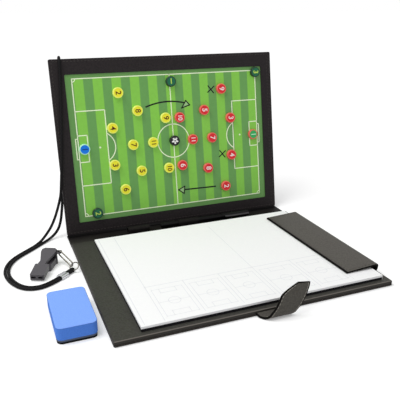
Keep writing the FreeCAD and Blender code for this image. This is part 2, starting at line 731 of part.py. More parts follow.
# Write the nodes, the folder first
base_cover, base_lining, base_board = base_panel()
strap_root, strap_tongue, magnet = strap()
save("base_cover", base_cover.cut(strap_root))
save("base_lining", base_lining.cut(strap_root))
save("base_board", base_board.cut(strap_root))

spine_cover, spine_board = spine()
save("spine_cover", spine_cover)
save("spine_board", spine_board)

for node, solid in lid_panel():
    save(node, solid)

for node, shares in COUNTER_PLACE_SHARES.items():
    save(f"counter_{node}", *counter(*shares))

for node, solid in zip(("pad_backing", "pad_sheets", "pad_top_sheet", "pad_binding"), pad()):
    save(node, solid)

for node, solid in zip(("flap_gusset", "flap_cover", "flap_board"), flap()):
    save(node, solid)

save("strap_root", strap_root)
save("strap_tongue", strap_tongue)
save("strap_magnet", magnet)

save("pen_loops", pen_loop(left_loop_middle), pen_loop(right_loop_middle))
for node, solid in zip(("marker_barrel", "marker_nib", "marker_cap"), marker()):
    save(node, solid)

for node, solid in zip(("eraser_foam", "eraser_felt"), wiping_block()):
    save(node, solid)

floor_cords, hanging_cords, lid_cord = lanyard_cords()
save("lanyard_floor_cord", *floor_cords)
save("lanyard_hanging_cord", *hanging_cords)
save("lanyard_lid_cord", lid_cord)

ferrule, sleeve, split_ring, hook_place = lanyard_fittings()
save("lanyard_ferrule", ferrule)
save("lanyard_sleeve", sleeve)

# The hook hangs on the ring at one end and on the whistle's lug at the other
level_share = math.cos(math.radians(hook_rise))
hook_along = Vec(level_share * math.cos(math.radians(hook_turn)),
                 level_share * math.sin(math.radians(hook_turn)), math.sin(math.radians(hook_rise)))
hook_end_radius = (hook_width - hook_wire) / 2
hook_near = hook_place + hook_along * (hook_end_radius - (hook_wire + ring_wire) / 2 - link_slack)
save("lanyard_hook", split_ring, wire_loop(hook_length, hook_width, hook_wire, hook_near, hook_along))
lug_place = hook_near + hook_along * (hook_length - hook_wire - hook_end_radius - link_slack)
print("lug axis", [round(c, 3) for c in lug_place])
whistle_body = whistle(lug_place.z)
whistle_body.rotate(Vec(0, 0, 0), AXIS_Z, whistle_turn)
whistle_body.translate(Vec(lug_place.x, lug_place.y, 0))
save("whistle", whistle_body)
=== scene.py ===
"""Looks for the folding tactics board: leatherette folder, magnetic pitch, pad, marker, block and lanyard.

Metres, in the CAD frame: +X to the right, +Y to the back, +Z up from the table that the base lies on.
"""
import json
import math

import bmesh
import bpy
from mathutils import Matrix, Vector


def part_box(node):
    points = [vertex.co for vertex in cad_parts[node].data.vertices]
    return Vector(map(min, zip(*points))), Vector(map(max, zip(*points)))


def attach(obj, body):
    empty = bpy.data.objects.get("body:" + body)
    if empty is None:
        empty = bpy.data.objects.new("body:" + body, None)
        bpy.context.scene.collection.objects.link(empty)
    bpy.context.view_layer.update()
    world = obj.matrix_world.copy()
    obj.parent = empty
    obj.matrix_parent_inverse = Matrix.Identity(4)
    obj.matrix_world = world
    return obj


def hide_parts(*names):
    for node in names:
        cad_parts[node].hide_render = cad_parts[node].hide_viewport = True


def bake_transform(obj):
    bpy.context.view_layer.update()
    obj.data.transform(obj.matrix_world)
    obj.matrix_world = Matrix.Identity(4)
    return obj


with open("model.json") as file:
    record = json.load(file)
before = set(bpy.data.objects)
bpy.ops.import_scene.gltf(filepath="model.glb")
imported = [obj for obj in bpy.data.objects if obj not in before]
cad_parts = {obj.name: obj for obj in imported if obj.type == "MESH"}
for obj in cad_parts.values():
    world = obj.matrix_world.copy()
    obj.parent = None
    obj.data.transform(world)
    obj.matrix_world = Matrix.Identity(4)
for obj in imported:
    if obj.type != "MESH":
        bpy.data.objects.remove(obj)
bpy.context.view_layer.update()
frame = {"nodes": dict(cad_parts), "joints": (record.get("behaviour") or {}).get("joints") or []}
nodes = frame["nodes"]


# Base panel: a greyboard between two leatherette skins, with the lining on top.
# The skins are PVC-coated cloth, embossed by a hot roller, turned in at the edges and sewn together.
# The thread is dark polyester, each stitch sinks at its ends, and no row crosses the pad's way out.
def linear(hex_colour):
    """An sRGB hex colour as the linear colour that a shader takes."""
    channels = [int(hex_colour[at:at + 2], 16) / 255 for at in (1, 3, 5)]
    return [c / 12.92 if c <= 0.04045 else ((c + 0.055) / 1.055) ** 2.4 for c in channels] + [1.0]


def add_node(tree, kind, sockets=None, **settings):
    """Adds a shader node, or sets up one that is there: a socket gets a value or another node's output."""
    node = tree.nodes.new("ShaderNode" + kind) if isinstance(kind, str) else kind
    for key, value in settings.items():
        setattr(node, key, value)
    for key, value in (sockets or {}).items():
        if isinstance(value, bpy.types.NodeSocket):
            tree.links.new(value, node.inputs[key])
        else:
            node.inputs[key].default_value = value
    return node


def new_finish(name):
    """A new material: the material, its node tree, its shader and the piece's own coordinates."""
    material = bpy.data.materials.new(name)
    material.use_nodes = True
    tree = material.node_tree
    place = add_node(tree, "TexCoord").outputs["Object"]
    return material, tree, tree.nodes["Principled BSDF"], place


def leatherette(name, face, valley, shine, grain_mm=1.9, cloud_mm=42):
    """Embossed PVC leatherette: dull pebbles with slightly darker valleys between them.

    Such a grain is often about 1 mm; it is drawn about twice as coarse, so that it shows.
    """
    material, tree, shader, place = new_finish(name)
    pebble = add_node(tree, "TexVoronoi", {"Vector": place, "Scale": 1000 / grain_mm})
    cloud = add_node(tree, "TexNoise", {"Vector": place, "Scale": 1000 / cloud_mm, "Detail": 5.0})
    grain = add_node(tree, "MapRange", {"Value": pebble.outputs["Distance"], "From Max": 0.8})
    tone = add_node(tree, "MixRGB", {"Fac": grain.outputs["Result"], "Color1": linear(face),
                                     "Color2": linear(valley)})
    shade = add_node(tree, "MapRange", {"Value": cloud.outputs["Fac"], "To Min": 0.88, "To Max": 1.12})
    colour = add_node(tree, "VectorMath", {0: tone.outputs["Color"], "Scale": shade.outputs["Result"]},
                      operation="SCALE")
    gloss = add_node(tree, "MapRange", {"Value": cloud.outputs["Fac"], "To Min": 0.46, "To Max": 0.62})
    bump = add_node(tree, "Bump", {"Height": grain.outputs["Result"], "Strength": 0.22, "Distance": 0.0003},
                    invert=True)
    add_node(tree, shader, {"Base Color": colour.outputs["Vector"], "Roughness": gloss.outputs["Result"],
                            "Normal": bump.outputs["Normal"], "IOR": 1.48, "Specular IOR Level": shine})
    return material


def dress(node_name, material):
    """Gives a CAD node its finish."""
    nodes[node_name].data.materials.clear()
    nodes[node_name].data.materials.append(material)


def put_in_scene(name, data):
    """An object for a mesh, a curve, a lamp or a camera, linked to the scene."""
    thing = bpy.data.objects.new(name, data)
    bpy.context.scene.collection.objects.link(thing)
    return thing


def add_piece(name, form, material, body=None, smooth=False):
    """Puts a finished bmesh in the scene as a piece, which rides on a body if one is named."""
    bmesh.ops.recalc_face_normals(form, faces=form.faces)
    for face in form.faces:
        face.smooth = smooth
    mesh = bpy.data.meshes.new(name)
    form.to_mesh(mesh)
    form.free()
    mesh.materials.append(material)
    piece = put_in_scene(name, mesh)
    if body:
        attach(piece, body)
    return piece


def add_stitches(form, points, pitch=0.0046, length=0.0036, thread=0.0009):
    """A row of thread stitches along a surface, from each point to the next."""
    size = Matrix.Diagonal((length / 2, thread / 2, thread / 2, 1))
    for start, end in zip(points, points[1:]):
        run = end - start
        count = max(1, round(run.length / pitch))
        turn = run.to_track_quat("X", "Z").to_matrix().to_4x4()
        for index in range(count):
            middle = start + run * ((index + 0.5) / count)
            bmesh.ops.create_icosphere(form, subdivisions=1, radius=1,
                                       matrix=Matrix.Translation(middle) @ turn @ size)


def uneven(tree, place, colour, patch_mm, spread, detail=2.0):
    """A colour that is a little lighter and darker in patches, by a share each way."""
    patches = add_node(tree, "TexNoise", {"Vector": place, "Scale": 1000 / patch_mm, "Detail": detail})
    shade = add_node(tree, "MapRange", {"Value": patches.outputs["Fac"], "To Min": 1 - spread,
                                        "To Max": 1 + spread})
    scaled = add_node(tree, "VectorMath", {0: colour, "Scale": shade.outputs["Result"]}, operation="SCALE")
    return scaled.outputs["Vector"]


def spun_thread(name, face):
    """Spun polyester thread: a soft, slightly hairy line."""
    material, tree, shader, place = new_finish(name)
    add_node(tree, shader, {"Base Color": uneven(tree, place, linear(face)[:3], 0.8, 0.3), "Roughness": 0.75,
                            "Specular IOR Level": 0.2})
    return material


def mottled(name, first, second, grain_mm, detail, roughness, shine=0.5, relief=None, crisp=0.5):
    """A dull finish in two tones, mixed as fine as the fibres, grit or dust in it.

    Its relief, where it has one, is the bump's strength and depth. Crisp is how much the finest grain shows.
    """
    material, tree, shader, place = new_finish(name)
    grain = add_node(tree, "TexNoise", {"Vector": place, "Scale": 1000 / grain_mm, "Detail": detail,
                                        "Roughness": crisp})
    tone = add_node(tree, "MixRGB", {"Fac": grain.outputs["Fac"], "Color1": linear(first),
                                     "Color2": linear(second)})
    add_node(tree, shader, {"Base Color": tone.outputs["Color"], "Roughness": roughness,
                            "Specular IOR Level": shine})
    if relief:
        bump = add_node(tree, "Bump", {"Height": grain.outputs["Fac"], "Strength": relief[0],
                                       "Distance": relief[1]})
        add_node(tree, shader, {"Normal": bump.outputs["Normal"]})
    return material


def tone_by_place(material, tone, *limits):
    """Takes a finish over to another tone where the piece lies past every limit.

    A limit is an axis, the place on it where the change starts and the place where it is complete.
    """
    tree = material.node_tree
    shader = tree.nodes["Principled BSDF"]
    axes = add_node(tree, "SeparateXYZ", {"Vector": add_node(tree, "TexCoord").outputs["Object"]})
    share = 1.0
    for axis, start, end in limits:
        part = add_node(tree, "MapRange", {"Value": axes.outputs[axis], "From Min": start, "From Max": end})
        share = add_node(tree, "Math", {0: share, 1: part.outputs["Result"]},
                         operation="MULTIPLY").outputs["Value"]
    plain = shader.inputs["Base Color"].links[0].from_socket
    mixed = add_node(tree, "MixRGB", {"Fac": share, "Color1": plain, "Color2": linear(tone)})
    add_node(tree, shader, {"Base Color": mixed.outputs["Color"]})


black_leatherette = leatherette("leatherette_black_grained", "#2c2728", "#201c1d", 0.16)
lining_leatherette = leatherette("leatherette_charcoal_lining", "#454440", "#383732", 0.18)
dark_thread = spun_thread("polyester_thread_dark", "#3f3b39")
greyboard = mottled("greyboard_pressed", "#8d867a", "#6d675e", 1.5, 6.0, 0.9)
dress("base_cover", leatherette("leatherette_charcoal_cover", "#35312d", "#272420", 0.12))
dress("base_lining", lining_leatherette)
dress("base_board", greyboard)

# The lining has a painted highlight along its front edge, painted shade along its back, and darker painted
# shade where it turns down the sides.
base_low, base_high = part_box("base_lining")
front_highlight_start, front_highlight_end = base_low.y + 0.0017, base_low.y + 0.0008
back_shade_start, back_shade_end = base_high.y - 0.016, base_high.y - 0.001
side_shade_start, side_shade_end = base_high.z - 0.0002, base_high.z - 0.0006
tone_by_place(lining_leatherette, "#6b6660", ("Y", front_highlight_start, front_highlight_end))
tone_by_place(lining_leatherette, "#34332f", ("Y", back_shade_start, back_shade_end))
tone_by_place(lining_leatherette, "#2f2c29", ("Z", side_shade_start, side_shade_end))

seam_inset = 0.0034
stitch_level = base_high.z - 0.0003
seam_right, seam_front = base_high.x - seam_inset, base_low.y + seam_inset
base_seam = bmesh.new()
add_stitches(base_seam, [Vector((base_low.x + seam_inset, seam_front, stitch_level)),
                         Vector((seam_right, seam_front, stitch_level)),
                         Vector((seam_right, base_high.y - seam_inset, stitch_level))])
add_piece("base_seam_stitches", base_seam, dark_thread, "base")

# Spine: a narrow stiffened strip between the two creases, flat as the gutter when the board is open.
# Two pen loops are sewn on it, and its smooth skin runs on over both creases. The skin is near black along
# the gutter, with painted shade making it black under the lid's crease, and charcoal at the open left end,
# with painted shade darkening that end towards the lid.
gutter_leatherette = leatherette("leatherette_black_smooth", "#1f1c1b", "#161413", 0.09)
crease_shade_start, crease_shade_end = 0.1400, 0.1430
left_start, left_end = -0.108, -0.134
lid_shade_start, lid_shade_end = 0.140, 0.117
# Painted shade: black along the crease under the lid, and the charcoal left end darkening towards the lid.
tone_by_place(gutter_leatherette, "#0b0a0a", ("Y", crease_shade_start, crease_shade_end))
tone_by_place(gutter_leatherette, "#34332f", ("X", left_start, left_end), ("Y", lid_shade_start, lid_shade_end))
dress("spine_cover", gutter_leatherette)
dress("spine_board", greyboard)
dress("pen_loops", gutter_leatherette)

lid_crease = 0.1525
crease_height = 0.0012
skin_half_width = 0.1572
skin_thickness = 0.0004


def crease_skin(name, profile):
    """A thin leatherette skin across a crease: a line of points drawn out along the crease and thickened."""
    form = bmesh.new()
    line = [form.verts.new((-skin_half_width, y, z)) for y, z in profile]
    edges = [form.edges.new(pair) for pair in zip(line, line[1:])]
    drawn = bmesh.ops.extrude_edge_only(form, edges=edges)
    moved = [item for item in drawn["geom"] if isinstance(item, bmesh.types.BMVert)]
    bmesh.ops.translate(form, verts=moved, vec=(2 * skin_half_width, 0, 0))
    bmesh.ops.recalc_face_normals(form, faces=form.faces)
    bmesh.ops.solidify(form, geom=form.faces[:], thickness=skin_thickness)
    piece = add_piece(name, form, gutter_leatherette, smooth=True)
    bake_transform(piece)


crease_skin("base_crease_skin", [(0.1150, 0.0063), (0.1161, 0.0061), (0.1171, 0.0053), (0.1178, 0.0042),
                                 (0.1189, 0.0033), (0.1204, 0.0028), (0.1222, 0.0027)])

# Lid: the same padded panel as the base, leaning back on its crease, with a frame cut in its front skin.
# Behind the frame lie a steel sheet, the printed pitch and a dry-wipe film, on a greyboard.
lid_turn = math.radians(80.5)
lid_frame_place = Matrix.Translation((0, lid_crease, crease_height)) @ Matrix.Rotation(lid_turn, 4, "X")
lid_front = 0.0049           # the frame's face, out from the crease
lid_height = 0.233
lid_half_width = 0.159
lid_seam_low = 0.0049        # the seam's lowest row, up from the crease
second_row = 0.0032          # how far the second row on the right lies inside the first

crease_skin("lid_crease_skin", [(0.1452, 0.0026), (0.1465, 0.0027), (0.1474, 0.0031), (0.1478, 0.0037),
                                (0.14795, 0.0044)])
dress("lid_cover", black_leatherette)
dress("lid_frame", black_leatherette)
dress("lid_board", greyboard)


def metal(name, face, mark_mm, detail, bright, dull, mark=None):
    """Bare or plated metal: bright, with duller marks from rolling or handling, of another tone if named."""
    material, tree, shader, place = new_finish(name)
    marks = add_node(tree, "TexNoise", {"Vector": place, "Scale": 1000 / mark_mm, "Detail": detail})
    tone = add_node(tree, "MixRGB", {"Fac": marks.outputs["Fac"], "Color1": linear(face),
                                     "Color2": linear(mark or face)})
    sheen = add_node(tree, "MapRange", {"Value": marks.outputs["Fac"], "To Min": bright, "To Max": dull})
    add_node(tree, shader, {"Base Color": tone.outputs["Color"], "Metallic": 1.0,
                            "Roughness": sheen.outputs["Result"]})
    return material


dress("steel_sheet", metal("steel_tinned_sheet", "#b9bbbd", 6, 3.0, 0.25, 0.4))

lid_seam = bmesh.new()
low, high = lid_seam_low, lid_height - seam_inset
side = lid_half_width - seam_inset
for corners in ([(-side, low), (-side, high), (side, high), (side, low), (-side, low)],
                [(side - second_row, low + second_row), (side - second_row, high - second_row)]):
    add_stitches(lid_seam, [lid_frame_place @ Vector((x, up, lid_front)) for x, up in corners])
add_piece("lid_seam_stitches", lid_seam, dark_thread, "lid")

# Pitch sheet: a striped pitch printed on paper and laminated under a clear dry-wipe film.
# The mown stripes run up the sheet, light and dark by turns, with a plain margin outside the lines.
film_face = 0.00384          # the film's face, out from the crease, a hair behind the counters' undersides
sheet_thickness = 0.0003
sheet_half_width, sheet_half_height = 0.1581, 0.1140
sheet_middle = 0.1172        # up from the crease
sheet_corner = 0.0011
goal_left, goal_right = -0.1320, 0.1328
side_low, side_high = 0.0248, 0.2075
stripe_left, stripe_right = -0.1299, 0.1331
stripe_count = 21
stripe_blur = 0.04           # how soft a stripe's edge is, as a share of the stripe

pitch_sheet = bmesh.new()
bmesh.ops.create_grid(pitch_sheet, x_segments=1, y_segments=1, size=1)
bmesh.ops.scale(pitch_sheet, verts=pitch_sheet.verts, vec=(sheet_half_width, sheet_half_height, 1))
bmesh.ops.bevel(pitch_sheet, geom=pitch_sheet.verts[:], offset=sheet_corner, offset_type="OFFSET",
                segments=4, profile=0.5, affect="VERTICES", material=-1)
bmesh.ops.translate(pitch_sheet, verts=pitch_sheet.verts, vec=(0, sheet_middle, film_face))
bmesh.ops.recalc_face_normals(pitch_sheet, faces=pitch_sheet.faces)
bmesh.ops.solidify(pitch_sheet, geom=pitch_sheet.faces[:], thickness=sheet_thickness)
bmesh.ops.transform(pitch_sheet, matrix=lid_frame_place, verts=pitch_sheet.verts)

print_finish, tree, shader, place = new_finish("pitch_print_laminated")
unturned = Matrix.Rotation(-lid_turn, 3, "X")
flat = add_node(tree, "Mapping", {"Vector": place, "Rotation": (-lid_turn, 0, 0),
                                  "Location": -(unturned @ Vector((0, lid_crease, crease_height)))})
axes = add_node(tree, "SeparateXYZ", {"Vector": flat.outputs["Vector"]})
along = add_node(tree, "MapRange", {"Value": axes.outputs["X"], "From Min": stripe_left,
                                    "From Max": stripe_right, "To Max": float(stripe_count)}, clamp=False)
pair = add_node(tree, "Math", {0: along.outputs["Result"], 1: 2.0}, operation="FLOORED_MODULO")
dark = add_node(tree, "MapRange", {"Value": pair.outputs["Value"], "From Min": 1 - stripe_blur,
                                   "From Max": 1 + stripe_blur})
light = add_node(tree, "MapRange", {"Value": pair.outputs["Value"], "From Min": 2 - stripe_blur,
                                    "From Max": 2.0, "To Min": 1.0, "To Max": 0.0})
mown = add_node(tree, "Math", {0: dark.outputs["Result"], 1: light.outputs["Result"]}, operation="MULTIPLY")
stripes = add_node(tree, "MixRGB", {"Fac": mown.outputs["Value"], "Color1": linear("#84cb47"),
                                    "Color2": linear("#649f50")})
inside = 1.0
for axis, low, high in (("X", goal_left, goal_right), ("Y", side_low, side_high)):
    within = add_node(tree, "Math", {0: axes.outputs[axis], 1: (low + high) / 2, 2: (high - low) / 2},
                      operation="COMPARE")
    inside = add_node(tree, "Math", {0: inside, 1: within.outputs["Value"]},
                      operation="MULTIPLY").outputs["Value"]
grass = add_node(tree, "MixRGB", {"Fac": inside, "Color1": linear("#60954a"),
                                  "Color2": stripes.outputs["Color"]})
add_node(tree, shader, {"Base Color": uneven(tree, place, grass.outputs["Color"], 5, 0.07, 6.0),
                        "Roughness": 0.5, "Coat Weight": 0.25, "Coat Roughness": 0.22,
                        "Specular IOR Level": 0.35})
sheet = add_piece("pitch_sheet", pitch_sheet, print_finish, "lid")
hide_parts("pitch_print", "wipe_film")

# Pitch lines: white ink, printed with the stripes under the film.
# They are drawn a hair proud of the sheet, so that they show as lines of their own.
line_width = 0.0013
fine_share = 0.8             # a fine stroke's width, as a share of a full one
ink_depth = 0.00006
middle_shift = 0.0005        # how far the halfway line is printed off the middle
arc_step = 0.002             # about the length of one straight piece of an arc


def add_strokes(form, places, width):
    """Flat straight strokes on a sheet, from each place to the next."""
    for start, end in zip(places, places[1:]):
        start, end = Vector((*start, 0)), Vector((*end, 0))
        run = end - start
        turn = Matrix.Rotation(math.atan2(run.y, run.x), 4, "Z")
        size = Matrix.Diagonal(((run.length + width) / 2, width / 2, 1, 1))
        bmesh.ops.create_grid(form, x_segments=1, y_segments=1, size=1,
                              matrix=Matrix.Translation((start + end) / 2) @ turn @ size)


def add_arc(form, centre, radius, start, sweep, width):
    """A flat curved stroke: a short edge spun about the arc's centre."""
    way = Vector((math.cos(start), math.sin(start), 0))
    middle = Vector((*centre, 0))
    ends = [form.verts.new(middle + way * (radius + half)) for half in (-width / 2, width / 2)]
    edge = form.edges.new(ends)
    steps = max(6, round(abs(sweep) * radius / arc_step))
    whole = abs(sweep) > 2 * math.pi - 0.001
    bmesh.ops.spin(form, geom=[edge, *ends], cent=middle, axis=(0, 0, 1), angle=sweep, steps=steps,
                   use_merge=whole)


def lay_ink(name, form, material, place, body, depth=ink_depth):
    """Gives flat strokes the depth of an ink film and lays them on their surface."""
    bmesh.ops.recalc_face_normals(form, faces=form.faces)
    for face in form.faces:
        if face.normal.z < 0:
            face.normal_flip()
    bmesh.ops.translate(form, verts=form.verts, vec=(0, 0, depth))
    bmesh.ops.solidify(form, geom=form.faces[:], thickness=depth)
    bmesh.ops.transform(form, matrix=place, verts=form.verts)
    return add_piece(name, form, material, body)


def printed_ink(name, face):
    """Printed or marker ink: thin, with a slightly uneven lay."""
    material, tree, shader, place = new_finish(name)
    add_node(tree, shader, {"Base Color": uneven(tree, place, linear(face)[:3], 3, 0.08, 4.0),
                            "Roughness": 0.45, "Specular IOR Level": 0.25})
    return material


film_place = lid_frame_place @ Matrix.Translation((0, 0, film_face))
middle_x = (goal_left + goal_right) / 2 + middle_shift
middle_up = (side_low + side_high) / 2
circle_radius, spot_radius, corner_radius = 0.0233, 0.0013, 0.0042
box_depth, box_half = 0.0392, 0.0494
area_depth, area_half = 0.0127, 0.0177
goal_depth, goal_half = 0.0030, 0.0136
spot_from_line, arc_radius = 0.0287, 0.0210
arc_half = math.acos((box_depth - spot_from_line) / arc_radius)
lines = bmesh.new()
add_strokes(lines, [(goal_left, side_low), (goal_right, side_low), (goal_right, side_high),
                    (goal_left, side_high), (goal_left, side_low)], line_width)
add_strokes(lines, [(middle_x, side_low), (middle_x, side_high)], line_width)
add_arc(lines, (middle_x, middle_up), circle_radius, 0, 2 * math.pi, line_width)
for goal, inward, corner_turns in ((goal_left, 1, (0, -90)), (goal_right, -1, (90, 180))):
    for depth, half in ((box_depth, box_half), (area_depth, area_half), (-goal_depth, goal_half)):
        far = goal + inward * depth
        add_strokes(lines, [(goal, middle_up - half), (far, middle_up - half), (far, middle_up + half),
                            (goal, middle_up + half)], line_width)
    spot = (goal + inward * spot_from_line, middle_up)
    bmesh.ops.create_circle(lines, cap_ends=True, radius=spot_radius, segments=12,
                            matrix=Matrix.Translation((*spot, 0)))
    facing = 0 if inward > 0 else math.pi
    add_arc(lines, spot, arc_radius, facing - arc_half, 2 * arc_half, line_width)
    for up, turn in zip((side_low, side_high), corner_turns):
        add_arc(lines, (goal, up), corner_radius, math.radians(turn), math.pi / 2, line_width * fine_share)
lay_ink("pitch_lines", lines, printed_ink("printing_ink_white", "#f4ffdc"), film_place, "lid")

# Marker drawings: two run arrows and two crosses, drawn by hand on the film in black dry-wipe ink.
# The arrow heads are outlined, and filled with a pale wash.
stroke = 0.0020
wash_depth, marker_depth = ink_depth * 1.4, ink_depth * 2
run_centre, run_radius = Vector((-0.0038, 0.0763)), 0.0946
run_start, run_end = math.radians(110.0), math.radians(74.6)
STRAIGHT_RUN = [(0.0606, 0.0437), (0.0128, 0.0446)]
ARROW_HEADS = [[(0.0283, 0.1643), (0.0229, 0.1706), (0.0163, 0.1608)],
               [(0.0033, 0.0454), (0.0129, 0.0495), (0.0114, 0.0391)]]
CROSSES = [Vector((0.0620, 0.1840)), Vector((0.0746, 0.0905))]
cross_arm, cross_leans = 0.0062, (38, 128)
drawings, washes = bmesh.new(), bmesh.new()
add_arc(drawings, run_centre, run_radius, run_end, run_start - run_end, stroke)
add_strokes(drawings, STRAIGHT_RUN, stroke)
for head in ARROW_HEADS:
    add_strokes(drawings, head + head[:1], stroke * fine_share)
    washes.faces.new([washes.verts.new((*corner, 0)) for corner in head])
for middle in CROSSES:
    for lean in cross_leans:
        arm = cross_arm * Vector((math.cos(math.radians(lean)), math.sin(math.radians(lean))))
        add_strokes(drawings, [middle - arm, middle + arm], stroke * fine_share)
lay_ink("marker_wash", washes, printed_ink("dry_wipe_ink_wash", "#9dc688"), film_place, "lid",
        wash_depth)
lay_ink("marker_drawings", drawings, printed_ink("dry_wipe_ink_black", "#0b110a"), film_place,
        "lid", marker_depth)


# Counters: moulded ABS caps with a raised rim, a printed disc glued in the recess and a magnet below.
# One team is yellow with a blue keeper, the other red with a green-faced keeper, and the spare ones are
# dark green.
def moulded_abs(name, face, roughness=0.32, shine=0.4):
    """Moulded ABS: even colour with a faint flow mark and a soft gloss."""
    material, tree, shader, place = new_finish(name)
    grit = add_node(tree, "TexNoise", {"Vector": place, "Scale": 1000 / 0.7})
    bump = add_node(tree, "Bump", {"Height": grit.outputs["Fac"], "Strength": 0.06, "Distance": 0.0002})
    add_node(tree, shader, {"Base Color": uneven(tree, place, linear(face)[:3], 9, 0.08),
                            "Roughness": roughness, "IOR": 1.53, "Specular IOR Level": shine,
                            "Normal": bump.outputs["Normal"]})
    return material


counter_top = 0.0039         # the bottom of the recess, out from the film
disc_depth, disc_radius = 0.00016, 0.00585
number_depth = 0.00010
number_weld = 0.000002       # points of a number that lie nearer than this become one
number_heights = {1: 0.0106, 2: 0.0090}      # by the count of digits
rim_finish = {team: moulded_abs("abs_" + tone, face) for team, tone, face in (
    ("yellow", "lemon", "#f8ff74"), ("blue", "pale_mint", "#bdf7d4"), ("red", "light_red", "#f0685a"),
    ("green", "bottle_green", "#0b3320"), ("ball", "black", "#141414"))}
disc_finish = {team: printed_ink("paper_disc_" + tone, face) for team, tone, face in (
    ("yellow", "yellow", "#f5ee36"), ("blue", "blue", "#0b7bea"), ("red", "red", "#e22c34"),
    ("green", "green", "#1c6848"), ("keeper", "keeper", "#38b060"), ("ball", "black", "#101010"))}
number_finish = {team: printed_ink("number_ink_" + tone, face) for team, tone, face in (
    ("yellow", "brown", "#54210a"), ("blue", "navy", "#0b3a86"), ("red", "white", "#f8ebe8"),
    ("green", "lime", "#c2e25e"), ("keeper", "pale_green", "#c9f2cf"))}


def number_form(text, height, turn):
    """A number as a flat bmesh, turned as its counter lies."""
    digits = bpy.data.curves.new("number", "FONT")
    digits.body = text
    digits.align_x = digits.align_y = "CENTER"
    digits.size = height
    digits.offset = 0.014 * height
    digits.space_character = 0.9
    carrier = put_in_scene("number", digits)
    bpy.context.view_layer.update()
    mesh = bpy.data.meshes.new_from_object(carrier.evaluated_get(bpy.context.evaluated_depsgraph_get()))
    form = bmesh.new()
    form.from_mesh(mesh)
    bpy.data.objects.remove(carrier)
    bpy.data.curves.remove(digits)
    bpy.data.meshes.remove(mesh)
    bmesh.ops.remove_doubles(form, verts=form.verts, dist=number_weld)
    bmesh.ops.rotate(form, verts=form.verts, matrix=Matrix.Rotation(math.radians(turn), 3, "Z"))
    return form


for joint in frame["joints"]:
    node = joint["child"]
    if not node.startswith("counter_"):
        continue
    label = node[len("counter_"):]
    team, _, number = label.partition("_")
    face = "keeper" if label == "red_1" else team
    place = (Matrix.Translation(joint["pos_m"]) @ Matrix.Rotation(lid_turn, 4, "X")
             @ Matrix.Translation((0, 0, counter_top)))
    print_place = place @ Matrix.Translation((0, 0, disc_depth))
    dress(node, rim_finish[team])
    disc = bmesh.new()
    bmesh.ops.create_circle(disc, cap_ends=True, radius=disc_radius, segments=40)
    lay_ink("disc_" + label, disc, disc_finish[face], place, node, disc_depth)
    if number:
        digits = number_form(number, number_heights[len(number)], 0 if label == "green_1" else -90)
        lay_ink("number_" + label, digits, number_finish[face], print_place, node, number_depth)
    else:
        ball_place = print_place

# Football: the traditional motif on the ball's disc, five white panels round a small black pentagon.
# The panels are white ink, printed on the disc's black ground.
PANEL = [(0.0008, 0), (0.0016, 0.00125), (0.0034, 0.00125), (0.0045, 0.0009), (0.0049, 0),
         (0.0045, -0.0009), (0.0034, -0.00125), (0.0016, -0.00125)]
panels = bmesh.new()
for index in range(5):
    way = Matrix.Rotation(math.radians(-90 + 72 * index), 4, "Z")
    panels.faces.new([panels.verts.new(way @ Vector((x, y, 0))) for x, y in PANEL])
lay_ink("football_panels", panels, printed_ink("football_ink_white", "#f4f4f0"), ball_place,
        "counter_ball", number_depth)

# Writing pad: a block of white paper glued to a black card, with a pale printed form on its top sheet.
# The card's black is partly painted shade, for the shadow gap under the pad's front edge.
# The form is faint grey: two margin lines, a middle line and a row of small pitches to draw on.
pad_low, pad_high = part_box("pad_top_sheet")
paper = mottled("paper_offset_white", "#f7f7f8", "#fdfdfd", 2.5, 8.0, 0.8, relief=(0.05, 0.0002))

leaves, tree, shader, place = new_finish("paper_block_edges")
leaf_mm = 0.7                # a few sheets thick, because a single sheet is too fine to show
height = add_node(tree, "SeparateXYZ", {"Vector": place})
layer = add_node(tree, "Math", {0: height.outputs["Z"], 1: 2 * math.pi * 1000 / leaf_mm},
                 operation="MULTIPLY")
wave = add_node(tree, "Math", {0: layer.outputs["Value"]}, operation="SINE")
edge = add_node(tree, "MapRange", {"Value": wave.outputs["Value"], "From Min": -1.0})
tint = add_node(tree, "MixRGB", {"Fac": edge.outputs["Result"], "Color1": linear("#f0f0f4"),
                                 "Color2": linear("#fefefe")})
add_node(tree, shader, {"Base Color": tint.outputs["Color"], "Roughness": 0.85})
# The card is drawn black, partly as painted shade for the gap under the pad's front edge.
dress("pad_backing", mottled("card_black", "#0e0d10", "#1b1a1e", 1.2, 5.0, 0.8, 0.15))
dress("pad_sheets", leaves)
dress("pad_top_sheet", paper)
dress("pad_binding", paper)

